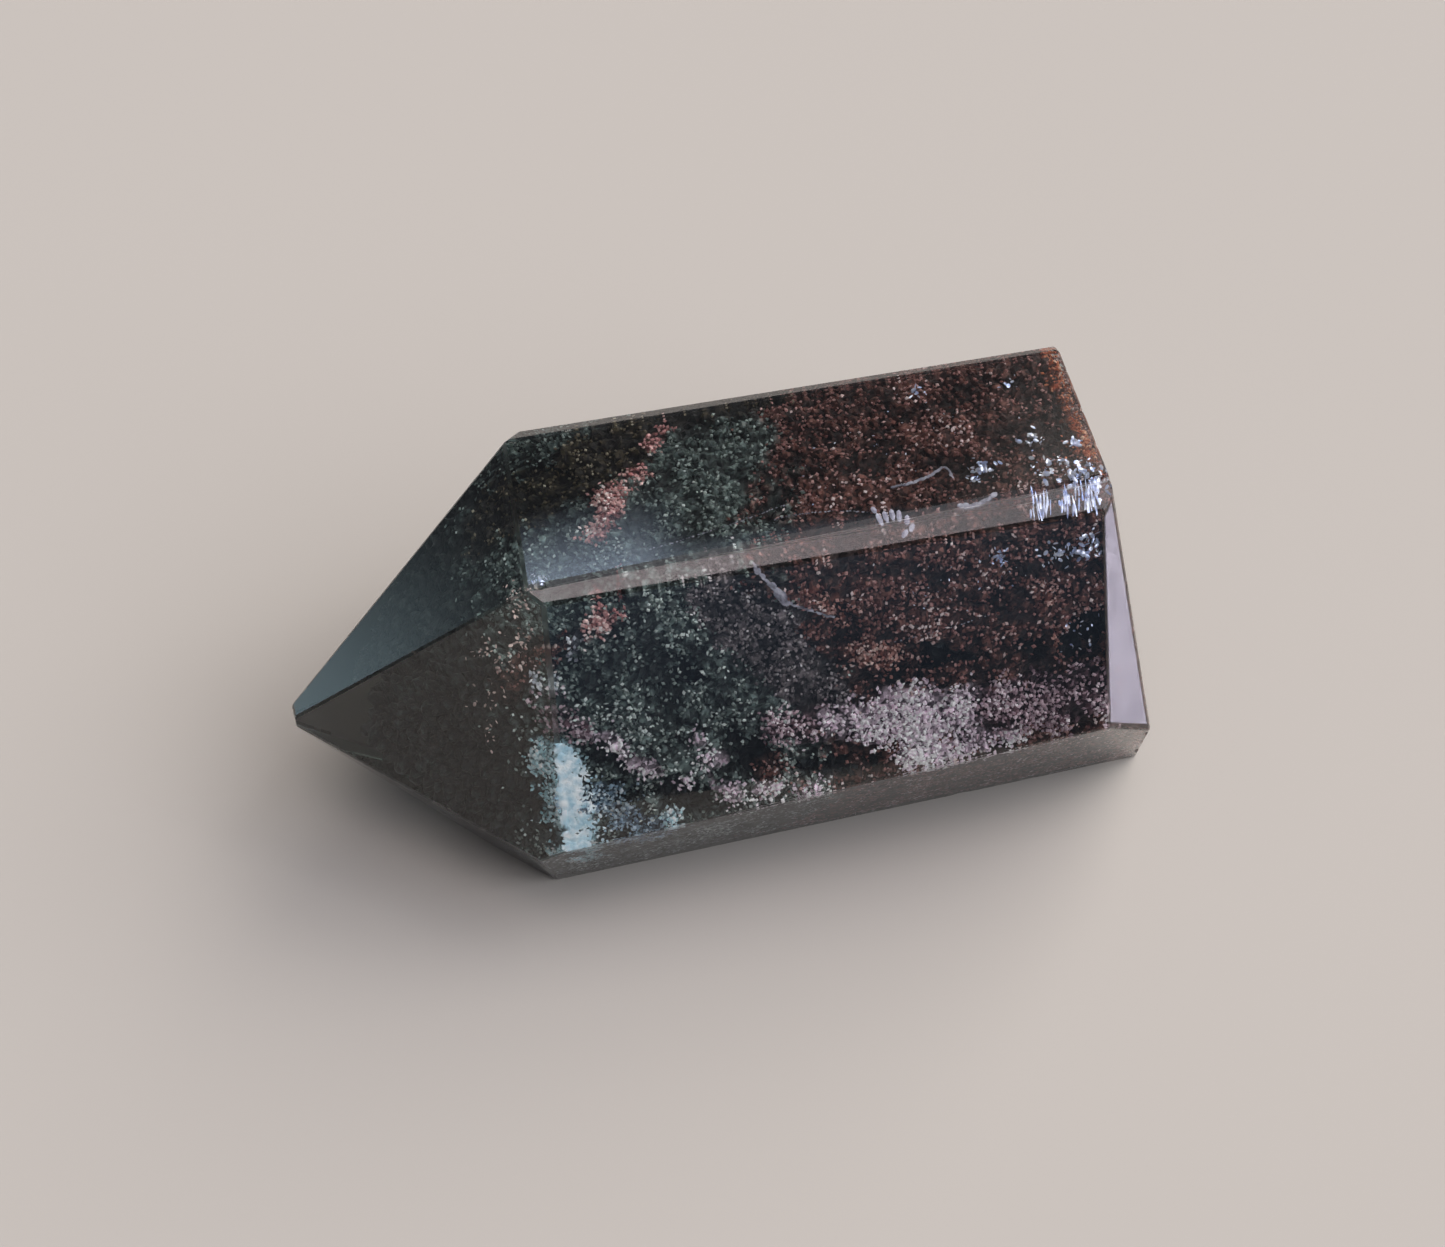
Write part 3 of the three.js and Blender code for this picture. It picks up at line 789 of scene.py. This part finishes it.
def flake(points, faces, middle, along, across, thick):
    """Adds one thin lens of a flake: points and faces are the lists that it adds to."""
    first = len(points)
    normal = along.cross(across).normalized()
    for step in range(FLAKE_RIM):
        angle = math.tau * step / FLAKE_RIM
        points.append(middle + along * math.cos(angle) + across * math.sin(angle))
    points.append(middle + normal * thick)
    points.append(middle - normal * thick)
    for step in range(FLAKE_RIM):
        here, after = first + step, first + (step + 1) % FLAKE_RIM
        faces.append((here, after, first + FLAKE_RIM))
        faces.append((after, here, first + FLAKE_RIM + 1))


def flakes_piece(name, points, faces, crystal, material):
    mesh = bpy.data.meshes.new(name)
    mesh.from_pydata([tuple(p * MM) for p in points], [], faces)
    piece = mesh_object(name, mesh)
    mesh.materials.append(material)
    keep_inside(piece, crystal, FLAKE_POINTS, GRAIN_SKIN)
    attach(piece, "root")


def make_fractures(crystal):
    silver = fracture_material("healed_fracture_silver", "#a9bbe6", "#f4f8ff", 0.6)
    chance = np.random.default_rng(41)

    def direction_near(way, spread):
        return (Vector(way) + Vector(chance.normal(0, spread, 3))).normalized()

    points, faces = [], []
    for start, middle, end, half, count in STRINGS:
        a, b, c = Vector(start), Vector(middle), Vector(end)
        for step in range(count):
            t = (step + chance.uniform(0, 1)) / count
            place = a.lerp(b, t).lerp(b.lerp(c, t), t)
            ahead = (b.lerp(c, t) - a.lerp(b, t)).normalized()
            place += Vector(chance.normal(0, 0.35 * half, 3))
            facing_out = direction_near((0, -0.5, 0.9), 0.3)
            side = ahead.cross(facing_out).normalized()
            width = half * chance.uniform(0.5, 1.2)
            flake(points, faces, place, ahead * width * 1.6, side * width, width * 0.35)
    flakes_piece("healed_arcs", points, faces, crystal,
                 fracture_material("healed_fracture_grey", "#62626f", "#a9a9b6"))

    def loose_flake(place, way, spread, length):
        facing_out = direction_near(way, spread)
        along = facing_out.cross(Vector(chance.normal(0, 1, 3))).normalized()
        side = facing_out.cross(along).normalized()
        width = length * chance.uniform(0.3, 0.8)
        flake(points, faces, place, along * length, side * width, length * 0.12)

    def spray(name, sprays, material):
        for middle, spread, count, size in sprays:
            for _ in range(count):
                place = Vector(middle) + Vector(chance.normal(0, 1, 3) * spread)
                loose_flake(place, (0.1, -0.5, 0.85), 0.45, size * chance.uniform(0.35, 1.1))
        flakes_piece(name, points, faces, crystal, material)

    points, faces = [], []
    for _ in range(STREAKS):
        place = Vector(STREAK_END).lerp(Vector(STREAK_START), chance.uniform(0, 1) ** 1.3)
        along = (Vector(UP_THE_FLAT) + Vector(chance.normal(0, 0.08, 3))).normalized()
        side = along.cross(direction_near(RIDGE_FLAT, 0.2)).normalized()
        length = chance.uniform(0.12, 0.75)
        place += along * chance.uniform(-0.7, 0.6)
        flake(points, faces, place, along * length, side * chance.uniform(0.025, 0.09), 0.02)
    flakes_piece("ridge_streaks", points, faces, crystal,
                 fracture_material("healed_fracture_blue", "#8097d2", "#e6efff", 0.4))
    points, faces = [], []
    spray("silver_flakes", SPRAYS, silver)
    points, faces = [], []
    crumbs = fracture_material("pale_feldspar_crumbs", "#7d6a64", "#e6cfc6")
    spray("shoulder_crumbs", CRUMBS, crumbs)

    points, faces = [], []
    # painted light: pale cyan flakes where light shines through the crystal at the shoulder
    top, bottom, low_right, right = (Vector(corner) for corner in PAINTED_LIGHT_CORNERS)
    for _ in range(PAINTED_LIGHT_FLAKES):
        down, across = chance.uniform(0, 1), abs(chance.normal(0, 0.5))
        place = top.lerp(bottom, down).lerp(right.lerp(low_right, down), across)
        loose_flake(place, FRONT_FACE, 0.15, chance.uniform(0.12, 0.4) * (1 - 0.5 * min(across, 1)))
    flakes_piece("cyan_painted_light_wedge", points, faces, crystal,
                 fracture_material("painted_light_white_flakes", "#a9d3e2", "#f2fdff"))

    points, faces = [], []
    for place, lean, length in FAN:
        along = Vector((lean, UP_THE_FLAT[1], UP_THE_FLAT[2])).normalized()
        side = along.cross(direction_near(RIDGE_FLAT, 0.1)).normalized()
        flake(points, faces, Vector(place), along * length, side * PETAL_HALF_WIDTH, PETAL_HALF_THICKNESS)
    flakes_piece("pale_fan", points, faces, crystal,
                 fracture_material("healed_fracture_milky", "#8f8ca0", "#c6c8d8"))


def make_base_veil(crystal, faces):
    """A thin pale sheet just under the flat beside the base: a painted reflection of window light."""
    way, reach = max(faces, key=lambda face: face[0].dot(Vector(BASE_FLAT)))
    rim = set()
    for polygon in crystal.data.polygons:
        off = polygon.normal.dot(polygon.center) / MM - reach
        if polygon.normal.dot(way) > SAME_WAY and abs(off) < 0.02:
            rim.update(polygon.vertices)
    corners = [crystal.data.vertices[i].co.copy() for i in rim]
    middle = sum(corners, Vector()) / len(corners)
    shape = bmesh.new()
    for corner in corners:
        drawn_in = middle + (corner - middle) * VEIL_SHARE
        shape.verts.new(drawn_in - way * VEIL_DEPTH * MM)
        shape.verts.new(drawn_in - way * (VEIL_DEPTH + VEIL_THICKNESS) * MM)
    bmesh.ops.convex_hull(shape, input=shape.verts[:])
    loose = [v for v in shape.verts if not v.link_faces]
    bmesh.ops.delete(shape, geom=loose, context="VERTS")
    mesh = bpy.data.meshes.new("base_veil")
    shape.to_mesh(mesh)
    shape.free()
    mesh.materials.append(veil_material())
    veil = mesh_object("base_veil", mesh)
    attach(veil, "root")


# Floor, lights and camera

CAMERA_ELEVATION = 50.98    # degrees above the floor
CAMERA_TURN = 12.26         # degrees that it looks towards +X from straight behind -Y
CAMERA_DISTANCE = 166.7     # mm to the point that it looks at
CAMERA_AIM = (0.42, -0.45, 11.7)
PHOTO_WIDTH = 1445          # pixels, and the focal length in the same pixels
FOCAL_PIXELS = 2600
SENSOR_WIDTH = 36.0
FLOOR_HALF = 1.5            # m
FLOOR_GAP = 0.02 * MM       # the floor lies this far under the crystal, so that the two never flicker

# Studio surroundings: dim everywhere, with soft bright windows. A window is its elevation and turn in
# degrees, its half width and half height, the softness of its edge, and its radiance.
AMBIENT = (0.10, 0.105, 0.12)
WINDOWS = [
    (40.0, 66.0, 0.40, 0.30, 0.25, (4.9, 4.6, 4.3)),      # right and a little behind: the main light
    (45.0, 120.0, 0.35, 0.30, 0.35, (3.9, 3.9, 4.2)),     # front right, a fill
    (75.0, -150.0, 0.08, 0.12, 0.24, (4.2, 3.7, 3.8)),    # overhead: gives the ridge flat its grey sheen
    (74.5, 172.0, 0.04, 0.04, 0.07, (4.0, 3.1, 3.1)),     # overhead: a rosy sheen on the ridge flat
    (78.5, 16.0, 0.07, 0.05, 0.09, (1.2, 1.2, 1.3)),      # mirrored in the ridge's worn upper edge
    (8.0, 172.0, 0.50, 0.06, 0.12, (0.12, 0.18, 0.28)),   # a cold glow, mirrored in the front face
    (51.6, 0.5, 0.028, 0.006, 0.030, (1.8, 2.2, 2.8)),    # mirrored along the ridge's left end
    (51.5, 6.0, 0.070, 0.001, 0.014, (0.9, 1.1, 1.4)),
    (1.5, -54.0, 0.06, 0.02, 0.10, (0.9, 1.25, 1.4)),     # mirrored in the tip's top face
]


def direction(elevation, turn):
    """The way a camera looks that stands at this elevation and turn, in degrees."""
    e, t = math.radians(elevation), math.radians(turn)
    return Vector((math.sin(t) * math.cos(e), math.cos(t) * math.cos(e), -math.sin(e)))


def add_camera():
    data = bpy.data.cameras.new("camera")
    data.sensor_width = SENSOR_WIDTH
    data.lens = FOCAL_PIXELS / PHOTO_WIDTH * SENSOR_WIDTH
    data.clip_start = 5 * MM
    data.clip_end = 5.0
    camera = bpy.data.objects.new("camera", data)
    bpy.context.scene.collection.objects.link(camera)
    look = direction(CAMERA_ELEVATION, CAMERA_TURN)
    camera.location = (Vector(CAMERA_AIM) - look * CAMERA_DISTANCE) * MM
    camera.rotation_euler = look.to_track_quat("-Z", "Y").to_euler()
    bpy.context.scene.camera = camera


def add_floor():
    mesh = bpy.data.meshes.new("floor")
    half = FLOOR_HALF
    corners = [(-half, -half, 0), (half, -half, 0), (half, half, 0), (-half, half, 0)]
    mesh.from_pydata(corners, [], [(0, 1, 2, 3)])
    floor = mesh_object("floor", mesh)
    floor.location.z = -FLOOR_GAP
    material, tree = new_material("matt_paper")
    shader = add_node(tree, "ShaderNodeBsdfPrincipled", {
        "Base Color": linear("#9d9993"), "Roughness": 0.9})
    add_node(tree, "ShaderNodeOutputMaterial", {"Surface": shader.outputs["BSDF"]})
    floor.data.materials.append(material)


def soft_window(tree, ray, elevation, turn, half_width, half_height, softness, radiance):
    """A soft-edged bright rectangle in the studio's surroundings, seen in the given direction.

    elevation and turn are in degrees, and turn goes from +Y towards +X. The half sizes and the softness
    of the edge are tangents of angles.
    """
    middle = direction(-elevation, turn)
    across = Vector((middle.y, -middle.x, 0)).normalized()
    upward = across.cross(middle)

    def along(axis):
        return add_node(tree, "ShaderNodeVectorMath", {0: ray, 1: tuple(axis)},
                        operation="DOT_PRODUCT").outputs["Value"]

    def edge(axis, half):
        share = add_node(tree, "ShaderNodeMath", {0: along(axis), 1: depth}, operation="DIVIDE")
        size = add_node(tree, "ShaderNodeMath", {0: share.outputs[0]}, operation="ABSOLUTE")
        return add_node(tree, "ShaderNodeMapRange", {
            "Value": size.outputs[0], "From Min": half, "From Max": half + softness, "To Min": 1.0,
            "To Max": 0.0}, interpolation_type="SMOOTHSTEP").outputs["Result"]

    depth = add_node(tree, "ShaderNodeMath", {0: along(middle), 1: 0.001}, operation="MAXIMUM").outputs[0]
    inside = add_node(tree, "ShaderNodeMath", {0: edge(across, half_width), 1: edge(upward, half_height)},
                      operation="MULTIPLY")
    return add_node(tree, "ShaderNodeVectorMath", {0: radiance, "Scale": inside.outputs[0]},
                    operation="SCALE").outputs["Vector"]


def add_light():
    world = bpy.data.worlds.new("studio")
    world.use_nodes = True
    tree = world.node_tree
    tree.nodes.clear()
    ray = add_node(tree, "ShaderNodeTexCoord").outputs["Generated"]
    total = tuple(AMBIENT)
    for window in WINDOWS:
        total = add_node(tree, "ShaderNodeVectorMath", {0: total, 1: soft_window(tree, ray, *window)},
                         operation="ADD").outputs["Vector"]
    background = add_node(tree, "ShaderNodeBackground", {"Color": total, "Strength": 1.0})
    add_node(tree, "ShaderNodeOutputWorld", {"Surface": background.outputs["Background"]})
    bpy.context.scene.world = world


def set_cycles():
    scene = bpy.context.scene
    scene.cycles.use_denoising = True
    scene.cycles.max_bounces = 12
    scene.cycles.transmission_bounces = 12
    scene.cycles.diffuse_bounces = 3
    scene.cycles.glossy_bounces = 4
    scene.cycles.caustics_refractive = True
    scene.cycles.caustics_reflective = False
    scene.cycles.blur_glossy = 0.5
    scene.cycles.sample_clamp_indirect = 6.0
    scene.view_settings.view_transform = "Standard"


add_camera()
add_floor()
add_light()
set_cycles()
CRYSTAL = make_clear_point()
FACES = flat_faces(CRYSTAL)
make_garden(FACES)
make_fractures(FACES)
make_base_veil(CRYSTAL, FACES)
